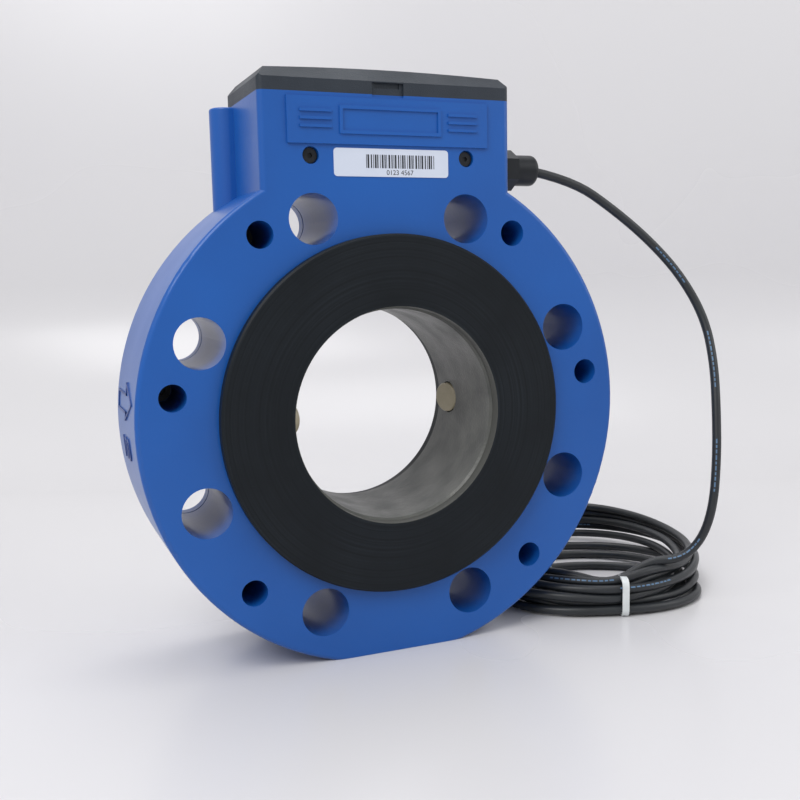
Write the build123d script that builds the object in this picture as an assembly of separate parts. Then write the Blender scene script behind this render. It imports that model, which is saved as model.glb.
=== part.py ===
from build123d import *
import os
from math import acos, asin, cos, degrees, pi, radians, sin, sqrt, tan

# Wafer ultrasonic water meter, nominal bore 100, clamped between two pipe flanges.
# Millimetres. +Z is up, +Y runs upstream along the pipe, +X is to the right of a person
# who looks at the outlet face. The origin is the centre of the bolt circle on the painted
# outlet side, so the body fills y = 0 to body_depth and water leaves towards -Y.

# Painted body
body_depth = 56.0
body_edge_round = 2.0
foot_cut = 4.5

# Flange bolt holes, drilled as a nominal 100 flange of pressure class 16
bolt_count = 8
bolt_hole_radius = 10.5
bolt_to_face = 2.5
bolt_to_edge = 9.5

# Housing for the electronics on top of the disc
box_half_width = 56.0
box_rise = 23.6
box_wall = 5.0
box_front_round = 2.5
box_back_round = 5.0
pocket_round = 3.0

# Cable column on the back left corner of the housing
column_radius = 7.0
column_offset = 2.0
column_drop = 0.6
column_round = 1.0

# Raised panel, its inner frame and its ribs on the front of the housing
panel_side = 11.3
panel_drop = 1.8
panel_height = 18.6
panel_proud = 1.0
frame_half_width = 22.6
frame_drop = 5.0
frame_height = 11.3
frame_ridge = 1.4
ridge_proud = 0.7
rib_from_frame = 3.4
rib_from_panel_side = 5.2
rib_height = 1.2
rib_pitch = 3.1
rib_drop = 10.4
rib_count = 3

# Number label
label_left = -25.2
label_right = 26.2
label_drop = 21.8
label_height = 11.4
label_round = 1.5
label_thickness = 0.25

# Measuring tube and the two raised faces
bore_radius = 45.5
tube_wall = 14.5
tube_gap = 0.15
collar_rise = 3.0
collar_width = 6.0
face_proud = 5.0
face_bore_step = 1.0
face_edge = 0.8
face_beyond_key = 4.0
key_inset = 5.0
key_width = 5.0
key_depth = 2.5
key_gap = 0.2

# Flat seals in the two ends of the tube
seal_groove_depth = 2.0
seal_groove_width = 3.4
seal_inset = 7.5
seal_side_gap = 0.2

# Rear cover, set in behind the rim and clamped by screws from the outlet side
rim_wall = 5.0
cover_thickness = 6.0
cover_gap = 0.3
cover_drop = 14.5
cover_foot_wall = 5.0
cover_seal_thickness = 1.0

# Housing screws, in deep counterbores
screw_angles = [53.4, 8.05, -47.25]
screw_beyond_bolts = 5.8
screw_counterbore_radius = 5.6
screw_head_radius = 4.5
screw_head_height = 5.0
screw_shank_radius = 2.5
screw_key_width = 4.0
screw_key_depth = 2.5
screw_grip = 20.0
screw_clearance = 0.3
screw_end_gap = 1.0

# Two screws through the front of the housing
box_screw_side = 21.1
box_screw_drop = 25.0
box_screw_hole_radius = 3.5
box_screw_head_radius = 3.0
box_screw_head_height = 1.8
box_screw_shank_radius = 1.5
box_screw_seat = 3.2
box_screw_length = 6.5
box_screw_key_width = 2.0
box_screw_key_depth = 0.9

# Wiring channel round the tube, behind the disc's front wall
channel_wall = 3.0
channel_width = 10.0
channel_front = 8.0
lead_window_radius = 3.4
window_margin = 1.2
lead_hole_radius = 3.0
lead_hole_x = 17.5
lead_spread = 6.0
lead_first_angle = 16.0
lead_arc_step = 34.0
lead_lift = 1.0
lead_waver = 0.2
lead_in_pocket = 0.5

# Ultrasonic transducers on one slanted path
path_end_inset = 8.27
transducer_radius = 7.0
transducer_gap = 0.5
transducer_setback = 0.5
transducer_head = 4.0
transducer_stem_radius = 5.0
transducer_edge = 0.4
transducer_seal_thickness = 1.0
transducer_nut_radius = 6.5
transducer_nut_thickness = 3.0
transducer_nut_gap = 0.5
lead_radius = 1.2

# Shelf inside the housing, sealing frame, bezel and window
ledge_width = 2.5
bezel_top_gap = 0.2
bezel_thickness = 3.0
bezel_gap = 0.3
bezel_seal_thickness = 1.0
bezel_seal_width = 1.9
bezel_screw_side = 11.0
bezel_screw_inset = 10.2
bezel_boss_radius = 4.2
bezel_screw_head_radius = 2.6
bezel_screw_head_height = 1.6
bezel_screw_shank_radius = 1.25
bezel_screw_length = 8.0
window_side = 26.0
window_front = 12.0
window_back_inset = 18.0
window_thickness = 1.5
window_rebate = 2.0
window_gap = 0.1

# Electronics
carrier_side = 18.0
carrier_front_gap = 0.5
carrier_back_gap = 2.5
carrier_thickness = 1.5
carrier_drop = 14.6
carrier_tab_width = 11.0
carrier_tab_height = 17.5
spacer_height = 2.0
spacer_radius = 2.6
board_thickness = 1.6
board_screw_inset = 3.5
board_screw_radius = 1.1
board_screw_head_radius = 2.1
board_screw_head_height = 1.4
lcd_side = 10.0
lcd_front_inset = 5.0
lcd_back_inset = 9.0
lcd_thickness = 5.0
terminal_side = 1.0
terminal_width = 6.0
terminal_inset = 2.0
terminal_margin = 3.1
terminal_height = 5.0
terminal_ways = 4

# Battery cells and their cradle
cell_spacing = 3.5
cell_headroom = 4.0
cell_gap = 0.1
cradle_floor = 1.5
cradle_wall = 1.5
cradle_side_gap = 2.75
cradle_boss_gap = 0.3
cradle_lead_gap = 1.5
cell_cap_radius = 2.6
cell_cap_height = 1.0

# Lid
lid_band = 5.3
lid_bevel_in = 3.4
lid_bevel_rise = 4.0
lid_crown = 1.5
lid_wall = 2.2
notch_x = -0.7
notch_width = 14.0
notch_depth = 1.0
notch_low_lip = 0.9
slot_width = 11.0
slot_height = 2.2
slot_depth = 1.6
slot_below_bevel = 0.4
lid_seal_width = 1.4
lid_seal_height = 1.2
lid_seal_inset = 2.6
lid_seal_gap = 0.1

# Lid hinge
hinge_offset = 3.2
hinge_rise = 1.0
knuckle_radius = 2.8
hinge_pin_radius = 1.25
hinge_pin_play = 0.05
lid_knuckle_width = 8.0
body_knuckle_width = 5.0
knuckle_play = 0.3
hinge_side = 24.0

# Cable gland
gland_y = 23.0
gland_hex = 16.0
gland_collar_length = 4.0
gland_thread_radius = 6.0
gland_thread_length = 10.0
gland_bore_radius = 3.6
gland_nut_gap = 0.3
gland_hex_length = 9.0
gland_length = 25.0
gland_dome_radius = 7.0
gland_dome_round = 2.5
gland_seal_radius = 4.6
gland_seal_length = 9.0
locknut_hex = 14.4
locknut_thickness = 3.5
locknut_floor_gap = 0.3

# Signal cable
cable_diameter = 4.3
cable_exit_gap = 0.35
cable_inside_reach = 14.0
core_radius = 0.55

# Points of the free cable, from the gland's nose down on to the coil
lead_points = [
    (81.0, 23.0, 106.2),
    (101.9, 21.9, 102.2),
    (123.3, 19.6, 88.8),
    (141.8, 15.7, 73.6),
    (157.0, 10.9, 56.4),
    (165.6, 2.8, 35.4),
    (165.0, -5.4, 13.7),
    (162.4, -10.9, -8.0),
    (159.5, -15.4, -29.5),
    (156.6, -17.2, -54.0),
    (154.6, -11.5, -72.0),
    (145.5, -7.2, -82.5),
    (132.4, -4.5, -87.2),
    (119.6, -1.4, -89.9),
]

# Points of the cable's free end, behind the coil
tail_points = [
    (83.6, 94.7, -103.3),
    (89.7, 108.4, -103.3),
    (89.7, 121.4, -103.3),
    (83.8, 133.0, -103.3),
    (73.3, 140.6, -103.3),
    (60.6, 143.3, -103.3),
]

# Coil of the signal cable, which lies on the surface beside the foot
coil_centre = (135.5, 60.5)
coil_turn = -22.2
coil_half_width = 66.0
coil_half_depth = 74.0
eye_half_width = 44.0
eye_half_depth = 60.8
eye_shift = -0.7
coil_height = 20.0
coil_slope_u = 0.03
coil_slope_v = 0.05
coil_top_edge = 3.2
coil_foot_edge = 2.4
apron_inset = 5.0
apron_half_width = 44.5
apron_half_depth = 33.2
apron_shift = -28.3
apron_height = 4.4
apron_edge = 1.4

# Tie round the tight side of the coil
tie_place = 5.0
tie_width = 3.2
tie_thickness = 1.0
tie_round = 3.0
tie_height = 18.6
tie_head = 4.5
waist_reach = 10.0

# Derived sizes, from the bore outwards
tube_radius = bore_radius + tube_wall
collar_radius = tube_radius + collar_rise
channel_inner_radius = collar_radius + channel_wall
channel_outer_radius = channel_inner_radius + channel_width
key_inner_radius = collar_radius + key_inset
key_outer_radius = key_inner_radius + key_width
face_radius = key_outer_radius + face_beyond_key
bolt_circle_radius = face_radius + bolt_to_face + bolt_hole_radius
body_radius = bolt_circle_radius + bolt_hole_radius + bolt_to_edge
screw_circle_radius = bolt_circle_radius + screw_beyond_bolts
seal_middle_radius = bore_radius + seal_inset
transducer_face = bore_radius + transducer_setback
transducer_stem_end = tube_radius
cover_top = body_radius - cover_drop
face_bore_radius = bore_radius + face_bore_step

# Derived sizes inside the housing, from its walls inwards
ledge_inset = box_wall + ledge_width
panel_half_width = box_half_width - panel_side
rib_near = frame_half_width + rib_from_frame
rib_far = panel_half_width - rib_from_panel_side
box_screw_x = box_half_width - box_screw_side
bezel_screw_x = box_half_width - bezel_screw_side
window_half_width = box_half_width - window_side
window_back = body_depth - window_back_inset
carrier_half_width = box_half_width - carrier_side
carrier_front = ledge_inset + carrier_front_gap
carrier_back = body_depth - ledge_inset - carrier_back_gap
board_screw_x = carrier_half_width - board_screw_inset
lcd_half_width = carrier_half_width - lcd_side
lcd_front = carrier_front + lcd_front_inset
lcd_back = carrier_back - lcd_back_inset
terminal_right = carrier_half_width - terminal_side
terminal_left = terminal_right - terminal_width
terminal_front = lcd_front + terminal_inset
terminal_back = lcd_back - terminal_inset
core_pitch = (terminal_back - terminal_front - 2 * terminal_margin) / (terminal_ways - 1)
cradle_space = body_depth - 2 * (ledge_inset + cradle_side_gap + cradle_wall)
cell_radius = (cradle_space - cell_spacing) / 4
cell_pitch = 2 * cell_radius + cell_spacing
cell_left = cradle_wall + cradle_boss_gap + bezel_boss_radius - bezel_screw_x
cell_right = lead_hole_x - lead_hole_radius - cradle_lead_gap - cradle_wall
cell_length = cell_right - cell_left
cell_middle_y = body_depth / 2
hinge_x = box_half_width - hinge_side
cable_inside_end = box_half_width - cable_inside_reach

# Derived sizes, from the housing's top down
box_top = body_radius + box_rise
pocket_depth = carrier_drop + cell_headroom + 2 * cell_radius + cradle_floor
gland_drop = pocket_depth - locknut_floor_gap - locknut_hex / 2
pocket_floor = box_top - pocket_depth
panel_high = box_top - panel_drop
panel_low = panel_high - panel_height
frame_high = box_top - frame_drop
frame_low = frame_high - frame_height
rib_middle = box_top - rib_drop
label_high = box_top - label_drop
label_low = label_high - label_height
box_screw_z = box_top - box_screw_drop
carrier_height = box_top - carrier_drop
carrier_tab_low = carrier_height + carrier_thickness - carrier_tab_height
gland_z = box_top - gland_drop

# Other derived sizes
face_front = -face_proud
face_back = body_depth + face_proud
cover_front = body_depth - cover_thickness
cover_seal_front = cover_front - cover_seal_thickness
path_middle = body_depth / 2
path_angle = degrees(asin((path_middle - path_end_inset) / tube_radius))
screw_seat = body_depth - screw_grip
cable_radius = cable_diameter / 2
lid_top = box_top + lid_band + lid_bevel_rise + lid_crown
crown_radius = (box_half_width ** 2 + lid_crown ** 2) / (2 * lid_crown)
hinge_y = body_depth + hinge_offset
hinge_z = box_top + hinge_rise
bezel_top = box_top - bezel_top_gap
bezel_bottom = bezel_top - bezel_thickness
ledge_top = bezel_bottom - bezel_seal_thickness
board_bottom = carrier_height + carrier_thickness + spacer_height
board_top = board_bottom + board_thickness
cell_z = pocket_floor + cradle_floor + cell_radius
gland_exit = box_half_width + gland_length
foot_z = foot_cut - body_radius


def cylinder_y(radius, start, end, x=0.0, z=0.0):
    """A cylinder along Y."""
    middle = (start + end) / 2
    return Pos(x, middle, z) * Rot(90, 0, 0) * Cylinder(radius, end - start)


def cylinder_x(radius, start, end, y=0.0, z=0.0):
    """A cylinder along X."""
    middle = (start + end) / 2
    return Pos(middle, y, z) * Rot(0, 90, 0) * Cylinder(radius, end - start)


def cylinder_z(radius, start, end, x=0.0, y=0.0):
    """A cylinder along Z."""
    return Pos(x, y, (start + end) / 2) * Cylinder(radius, end - start)


def ring_y(outer, inner, start, end):
    """A plain ring about the pipe axis."""
    return cylinder_y(outer, start, end) - cylinder_y(inner, start - 1, end + 1)


def block(x_range, y_range, z_range):
    """A plain block between its two limits on each axis."""
    size = [high - low for low, high in (x_range, y_range, z_range)]
    middle = [(high + low) / 2 for low, high in (x_range, y_range, z_range)]
    return Pos(*middle) * Box(*size)


def plan_prism(half_width, front, back, front_round, back_round, low, high):
    """An upright prism with one round on its front corners and one on its back ones."""
    prism = block((-half_width, half_width), (front, back), (low, high))
    uprights = prism.edges().filter_by(Axis.Z).sort_by(Axis.Y)
    prism = fillet(uprights[:2], front_round)
    uprights = prism.edges().filter_by(Axis.Z).sort_by(Axis.Y)
    return fillet(uprights[-2:], back_round)


def hexagon_x(width, start, end, y, z, turn=30):
    """A hexagonal bar along X, one corner up unless turned, by its width across flats."""
    outline = Plane.YZ * RegularPolygon(width / sqrt(3), 6, rotation=turn)
    return Pos(start, y, z) * extrude(outline, amount=end - start)


def on_bolt_circle():
    """The places of the flange bolts, as x and z."""
    half_step = pi / bolt_count
    places = []
    for index in range(bolt_count):
        angle = half_step + 2 * half_step * index
        places.append((bolt_circle_radius * cos(angle), bolt_circle_radius * sin(angle)))
    return places


def housing_screw_axes():
    """The places of the six housing screws, as x and z."""
    axes = []
    for angle in screw_angles:
        x = screw_circle_radius * cos(radians(angle))
        z = screw_circle_radius * sin(radians(angle))
        axes = axes + [(-x, z), (x, z)]
    return axes


def path_frame(side):
    """The slanted sound path from the middle of the bore towards one transducer."""
    outward = (side * cos(radians(path_angle)), side * sin(radians(path_angle)), 0)
    return Plane(origin=(0, path_middle, 0), x_dir=(0, 0, 1), z_dir=outward)


def on_path(side, radius, start, end):
    """A cylinder on the sound path, by distance from the middle of the bore."""
    middle = Pos(0, 0, (start + end) / 2)
    return path_frame(side).location * middle * Cylinder(radius, end - start)


def arc_radii(points):
    """The largest tidy arc for each corner of a route."""
    radii = []
    for before, corner, after in zip(points, points[1:], points[2:]):
        first = Vector(*corner) - Vector(*before)
        second = Vector(*after) - Vector(*corner)
        turn = radians(first.get_angle(second))
        radii.append(0.45 * min(first.length, second.length) / tan(turn / 2))
    return radii


def tube_along(points, radius):
    """A round cord along straight runs joined by tangent arcs."""
    path = FilletPolyline(*points, radius=arc_radii(points))
    section = Plane(origin=path @ 0, z_dir=path % 0) * Circle(radius)
    return sweep(section, path=path)


def socket_screw(head_radius, head_height, shank_radius, length, key_width, key_depth):
    """A socket screw along +Y, with the underside of its head at y = 0."""
    screw = cylinder_y(head_radius, -head_height, 0) + cylinder_y(shank_radius, -0.1, length)
    key = Plane.XZ * RegularPolygon(key_width / sqrt(3), 6)
    key = Pos(0, -head_height, 0) * extrude(key, amount=-key_depth)
    return screw - key


def cross_screw(head_radius, head_height, shank_radius, length):
    """A pan head screw that points down, with the underside of its head at z = 0."""
    screw = cylinder_z(head_radius, 0, head_height) + cylinder_z(shank_radius, -length, 0.1)
    arm = head_radius * 1.2
    slot = head_radius * 0.28
    cross = Box(arm, slot, head_height) + Box(slot, arm, head_height)
    return screw - Pos(0, 0, head_height) * cross


def cover_outline(gap):
    """The opening behind the rim, drawn on XZ, made smaller all round by a gap."""
    radius = body_radius - rim_wall - gap
    low = foot_z + cover_foot_wall + gap
    high = cover_top - gap
    band = Pos(0, (low + high) / 2) * Rectangle(2 * radius, high - low)
    return Plane.XZ * (Circle(radius) & band)


def from_front(outline, start, end):
    """A prism along Y from an outline drawn on XZ."""
    return Pos(0, start, 0) * extrude(outline, amount=start - end)


# Body casting


def painted_blank():
    """The disc, its foot and the housing, before anything is cut."""
    disc = cylinder_y(body_radius, 0, body_depth)
    disc = fillet(disc.edges().filter_by(GeomType.CIRCLE), body_edge_round)
    below = block((-body_radius, body_radius), (-1, body_depth + 1), (foot_z - body_radius, foot_z))
    disc = disc - below
    box_root = body_radius / 2
    box = plan_prism(box_half_width, 0, body_depth, box_front_round, box_back_round,
                     box_root, box_top)
    column_x = -box_half_width - column_offset
    column_y = body_depth - column_radius
    column = cylinder_z(column_radius, box_root, box_top - column_drop, column_x, column_y)
    column_web = block((column_x, -box_half_width + box_wall),
                       (body_depth - 2 * column_radius, body_depth),
                       (box_root, box_top - column_drop))
    column = column + column_web
    column = fillet(column.faces().sort_by(Axis.Z)[-1].edges(), column_round)
    return disc + box + column


def front_panel():
    """The raised panel with its inner frame and two groups of ribs."""
    face = -panel_proud
    plate = block((-panel_half_width, panel_half_width), (face, 0.5), (panel_low, panel_high))
    crest = face - ridge_proud
    ridge = block((-frame_half_width, frame_half_width), (crest, 0.5), (frame_low, frame_high))
    inside = frame_half_width - frame_ridge
    ridge = ridge - block((-inside, inside), (crest - 1, face),
                          (frame_low + frame_ridge, frame_high - frame_ridge))
    panel = plate + ridge
    for index in range(rib_count):
        low = rib_middle + (index - (rib_count - 1) / 2) * rib_pitch - rib_height / 2
        for side in (-1, 1):
            ends = sorted((side * rib_near, side * rib_far))
            panel = panel + block(tuple(ends), (crest, 0.5), (low, low + rib_height))
    return panel


def electronics_pocket():
    """The space inside the housing, stepped in below the bezel, with corner bosses left."""
    wide = box_half_width - box_wall
    front = box_wall
    back = body_depth - box_wall
    upper = plan_prism(wide, front, back, pocket_round, pocket_round, ledge_top, box_top + 1)
    narrow = wide - ledge_width
    lower = plan_prism(narrow, front + ledge_width, back - ledge_width,
                       pocket_round, pocket_round, pocket_floor, ledge_top)
    for x, y in bezel_screw_axes():
        lower = lower - cylinder_z(bezel_boss_radius, pocket_floor - 1, ledge_top + 1, x, y)
        corner = block(tuple(sorted((x, x * 2))), tuple(sorted((y, boss_wall(y)))),
                       (pocket_floor - 1, ledge_top + 1))
        lower = lower - corner
    return upper + lower


def bezel_screw_axes():
    """The places of the four bezel screws, as x and y."""
    rows = (bezel_screw_inset, body_depth - bezel_screw_inset)
    return [(side * bezel_screw_x, y) for side in (-1, 1) for y in rows]


def boss_wall(y):
    """The housing wall nearest to a corner boss."""
    return 0.0 if y < body_depth / 2 else body_depth


def body_knuckles():
    """The knuckles on the housing, either side of each lid knuckle."""
    knuckles = []
    inner = lid_knuckle_width / 2 + knuckle_play
    for centre in (-hinge_x, hinge_x):
        for side in (-1, 1):
            ends = sorted((centre + side * inner, centre + side * (inner + body_knuckle_width)))
            knuckle = cylinder_x(knuckle_radius, *ends, hinge_y, hinge_z)
            arm = block(tuple(ends), (body_depth - box_wall / 2, hinge_y),
                        (hinge_z - knuckle_radius, box_top))
            knuckles.append(knuckle + arm)
    return knuckles


def lid_seal_ring(width, low, high):
    """The frame of the lid seal, which follows the top of the housing wall."""
    rings = []
    for half in (width / 2, -width / 2):
        inset = lid_seal_inset - half
        rings.append(plan_prism(box_half_width - inset, inset, body_depth - inset,
                                box_front_round, box_back_round - inset / 2, low, high))
    outer, inner = rings
    return outer - inner


def make_body_casting():
    """The painted casting: a disc with a foot, the housing, its panel and its column."""
    body = painted_blank() + front_panel()
    for knuckle in body_knuckles():
        body = body + knuckle
    body = body - cylinder_y(tube_radius + tube_gap, -1, body_depth + 1)
    body = body - from_front(cover_outline(0), cover_seal_front, body_depth + 1)
    seat = collar_radius + tube_gap
    body = body - cylinder_y(seat, cover_seal_front - collar_width + cover_seal_thickness,
                             body_depth)
    body = body - ring_y(key_outer_radius + key_gap, key_inner_radius - key_gap,
                         -1, key_depth + key_gap)
    body = body - ring_y(channel_outer_radius, channel_inner_radius,
                         channel_front, body_depth)
    body = body - electronics_pocket()
    for side in (-1, 1):
        start = side * (tube_radius - lead_window_radius)
        end = side * (channel_inner_radius + channel_width / 2)
        window_y = lead_window_y(side)
        body = body - cylinder_x(lead_window_radius, *sorted((start, end)), window_y, 0)
        body = body - cylinder_z(lead_hole_radius, channel_inner_radius + 2, pocket_floor + 1,
                                 lead_hole_x, lead_run_y(side))
    for x, z in on_bolt_circle():
        body = body - cylinder_y(bolt_hole_radius, -1, body_depth + 1, x, z)
    for x, z in housing_screw_axes():
        body = body - cylinder_y(screw_counterbore_radius, -1, screw_seat, x, z)
        body = body - cylinder_y(screw_shank_radius + screw_clearance, -1, body_depth, x, z)
    for side in (-1, 1):
        x = side * box_screw_x
        body = body - cylinder_y(box_screw_hole_radius, -3, box_screw_seat, x, box_screw_z)
        body = body - cylinder_y(box_screw_shank_radius + screw_clearance, -3, body_depth / 4,
                                 x, box_screw_z)
    body = body - cylinder_x(gland_thread_radius, box_half_width - ledge_inset - 2,
                             box_half_width + 1, gland_y, gland_z)
    for x, y in bezel_screw_axes():
        body = body - cylinder_z(bezel_screw_shank_radius, bezel_bottom - bezel_screw_length,
                                 box_top + 1, x, y)
    body = body - lid_seal_ring(lid_seal_width, box_top - lid_seal_height - lid_seal_gap,
                                box_top + 1)
    notch = block((notch_x - notch_width / 2, notch_x + notch_width / 2),
                  (-2, notch_depth), (box_top - notch_low_lip, box_top + 1))
    body = body - notch
    return body - cylinder_x(hinge_pin_radius, -box_half_width, box_half_width,
                             hinge_y, hinge_z)


def lead_window_y(side):
    """Where a transducer lead passes from the tube into the wiring channel."""
    end_y = path_middle + side * transducer_stem_end * sin(radians(path_angle))
    low = channel_front + window_margin
    high = cover_seal_front - lead_window_radius - window_margin
    return min(max(end_y, low), high)


def lead_run_y(side):
    """How far along the pipe a transducer lead lies in the wiring channel."""
    return path_middle + side * lead_spread


# Rear cover and its flat seal


def make_rear_cover():
    """The plate behind the casting, with a boss for each housing screw."""
    cover = from_front(cover_outline(cover_gap), cover_front, body_depth)
    cover = cover - cylinder_y(tube_radius + tube_gap, cover_front - 1, body_depth + 1)
    cover = cover - ring_y(key_outer_radius + key_gap, key_inner_radius - key_gap,
                           body_depth - key_depth - key_gap, body_depth + 1)
    for x, z in on_bolt_circle():
        cover = cover - cylinder_y(bolt_hole_radius, cover_front - 1, body_depth + 1, x, z)
    for x, z in housing_screw_axes():
        cover = cover - cylinder_y(screw_shank_radius, cover_front - 1,
                                   body_depth - screw_end_gap, x, z)
    return cover


def make_cover_seal():
    """The flat seal between the casting and the rear cover."""
    seal = from_front(cover_outline(cover_gap), cover_seal_front, cover_front)
    seal = seal - cylinder_y(collar_radius + tube_gap, cover_seal_front - 1, cover_front + 1)
    for x, z in on_bolt_circle():
        seal = seal - cylinder_y(bolt_hole_radius + cover_gap, cover_seal_front - 1,
                                 cover_front + 1, x, z)
    for x, z in housing_screw_axes():
        seal = seal - cylinder_y(screw_shank_radius + screw_clearance, cover_seal_front - 1,
                                 cover_front + 1, x, z)
    return seal


# Measuring tube, its seals and the raised faces


def make_measuring_tube():
    """The moulded tube, bored along the sound path for the transducers."""
    tube = cylinder_y(tube_radius, 0, body_depth)
    collar_front = cover_seal_front - collar_width + cover_seal_thickness
    tube = tube + cylinder_y(collar_radius, collar_front, cover_front)
    tube = tube - cylinder_y(bore_radius, -1, body_depth + 1)
    rims = tube.edges().filter_by(GeomType.CIRCLE).filter_by(
        lambda edge: abs(edge.radius - bore_radius) < 0.01)
    tube = chamfer(rims, face_bore_step)
    half = seal_groove_width / 2
    for start, end in ((-1, seal_groove_depth), (body_depth - seal_groove_depth, body_depth + 1)):
        tube = tube - ring_y(seal_middle_radius + half, seal_middle_radius - half, start, end)
    for side in (-1, 1):
        seat = transducer_face + transducer_head + transducer_seal_thickness
        tube = tube - on_path(side, transducer_radius + transducer_gap, bore_radius / 2, seat)
        tube = tube - on_path(side, transducer_stem_radius + transducer_gap / 2, seat - 1,
                              tube_radius + transducer_radius)
        nut_seat = transducer_stem_end - transducer_nut_thickness
        tube = tube - on_path(side, transducer_nut_radius + transducer_nut_gap, nut_seat,
                              tube_radius + transducer_radius)
    return tube


def make_tube_seals():
    """The square ring seals between the tube's ends and the raised faces."""
    half = seal_groove_width / 2 - seal_side_gap
    seals = []
    for start in (0, body_depth - seal_groove_depth):
        seals.append(ring_y(seal_middle_radius + half, seal_middle_radius - half,
                            start, start + seal_groove_depth))
    return Compound(children=seals)


def raised_face(start, end, key_start, key_end):
    """A flat black ring with a key on its back that centres it."""
    face = cylinder_y(face_radius, start, end)
    outer = face.edges().filter_by(GeomType.CIRCLE)
    outer = outer.sort_by(Axis.Y)
    free_edge = outer[0] if start < 0 else outer[-1]
    face = chamfer(free_edge, face_edge)
    face = face - cylinder_y(face_bore_radius, start - 1, end + 1)
    return face + ring_y(key_outer_radius, key_inner_radius, key_start, key_end)


def make_inlet_ring():
    """The raised face on the inlet side, at the back."""
    return raised_face(body_depth, face_back, body_depth - key_depth, body_depth + 0.5)


def make_outlet_ring():
    """The raised face on the outlet side, at the front."""
    return raised_face(face_front, 0, -0.5, key_depth)


# Transducers


def make_transducer(side):
    """A sensing disc with a stem that passes out through the tube wall."""
    head = on_path(side, transducer_radius, transducer_face, transducer_face + transducer_head)
    head = chamfer(head.edges().filter_by(GeomType.CIRCLE), transducer_edge)
    stem = on_path(side, transducer_stem_radius, transducer_face + transducer_head - 0.5,
                   transducer_stem_end)
    return head + stem


def make_transducer_seals():
    """A flat ring seal behind each sensing disc."""
    seals = []
    start = transducer_face + transducer_head
    for side in (-1, 1):
        seal = on_path(side, transducer_radius, start, start + transducer_seal_thickness)
        seal = seal - on_path(side, transducer_stem_radius, start - 1,
                              start + transducer_seal_thickness + 1)
        seals.append(seal)
    return Compound(children=seals)


def make_transducer_nuts():
    """A round nut that pulls each transducer on to its seal."""
    nuts = []
    end = transducer_stem_end
    start = end - transducer_nut_thickness
    for side in (-1, 1):
        nut = on_path(side, transducer_nut_radius, start, end)
        nuts.append(nut - on_path(side, transducer_stem_radius, start - 1, end + 1))
    return Compound(children=nuts)


def make_transducer_lead(side):
    """The thin lead from a transducer, round the channel and up into the housing."""
    stem_y = path_middle + side * transducer_stem_end * sin(radians(path_angle))
    stem_x = transducer_stem_end * cos(radians(path_angle))
    middle = (channel_inner_radius + channel_outer_radius) / 2
    window_y = lead_window_y(side)
    run_y = lead_run_y(side)
    rise_angle = degrees(acos(side * lead_hole_x / middle))
    steps = round(rise_angle / lead_arc_step)
    points = [(side * stem_x, stem_y, 0), (side * middle, window_y, lead_lift)]
    for step in range(steps):
        angle = radians(lead_first_angle + (rise_angle - lead_first_angle) * step / steps)
        y = (window_y + run_y) / 2 if step == 0 else run_y + lead_waver * (step % 2)
        points.append((side * middle * cos(angle), y, middle * sin(angle)))
    corner = middle * sin(radians(rise_angle))
    points.append((lead_hole_x, run_y, corner))
    points.append((lead_hole_x + lead_waver, run_y, (corner + pocket_floor) / 2))
    points.append((lead_hole_x, run_y, pocket_floor + lead_in_pocket))
    return tube_along(points, lead_radius)


# Screws


def make_housing_screws():
    """Six socket screws that clamp the rear cover, one beside every other bolt hole."""
    length = body_depth - screw_end_gap - screw_seat - 0.5
    screw = socket_screw(screw_head_radius, screw_head_height, screw_shank_radius, length,
                         screw_key_width, screw_key_depth)
    return Compound(children=[Pos(x, screw_seat, z) * screw for x, z in housing_screw_axes()])


def make_box_screws():
    """Two small screws that hold the electronics carrier to the front wall."""
    screw = socket_screw(box_screw_head_radius, box_screw_head_height,
                         box_screw_shank_radius, box_screw_length,
                         box_screw_key_width, box_screw_key_depth)
    places = [(side * box_screw_x, box_screw_seat, box_screw_z) for side in (-1, 1)]
    return Compound(children=[Pos(*place) * screw for place in places])


def make_bezel_screws():
    """Four pan head screws in the corners of the bezel."""
    under_head = bezel_top - bezel_screw_head_height
    screw = cross_screw(bezel_screw_head_radius, bezel_screw_head_height,
                        bezel_screw_shank_radius,
                        under_head - bezel_bottom + bezel_screw_length - 0.5)
    return Compound(children=[Pos(x, y, under_head) * screw for x, y in bezel_screw_axes()])


# Electronics


def board_screw_axes():
    """The places of the four board screws, as x and y."""
    rows = (carrier_front + board_screw_inset, carrier_back - board_screw_inset)
    return [(side * board_screw_x, y) for side in (-1, 1) for y in rows]


def make_board_carrier():
    """A folded sheet shelf with two tabs that hang on the box screws."""
    shelf_top = carrier_height + carrier_thickness
    carrier = block((-carrier_half_width, carrier_half_width), (carrier_front, carrier_back),
                    (carrier_height, shelf_top))
    for side in (-1, 1):
        x = side * box_screw_x
        half = carrier_tab_width / 2
        limits = (max(x - half, -carrier_half_width), min(x + half, carrier_half_width))
        tab = block(limits, (ledge_inset, ledge_inset + carrier_thickness),
                    (carrier_tab_low, shelf_top))
        carrier = carrier + tab
        carrier = carrier + block(limits, (ledge_inset, carrier_front + 1.0),
                                  (carrier_height, shelf_top))
    for x, y in board_screw_axes():
        carrier = carrier + cylinder_z(spacer_radius, shelf_top - 0.5, board_bottom, x, y)
        carrier = carrier - cylinder_z(board_screw_radius, carrier_height - 1,
                                       board_bottom + 1, x, y)
    for side in (-1, 1):
        carrier = carrier - cylinder_y(box_screw_shank_radius, 0, body_depth / 3,
                                       side * box_screw_x, box_screw_z)
    return carrier


def make_circuit_board():
    """The main circuit board."""
    board = block((-carrier_half_width, carrier_half_width), (carrier_front, carrier_back),
                  (board_bottom, board_top))
    board = fillet(board.edges().filter_by(Axis.Z), 1.5)
    for x, y in board_screw_axes():
        board = board - cylinder_z(board_screw_radius + 0.1, board_bottom - 1,
                                   board_top + 1, x, y)
    return board


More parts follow.
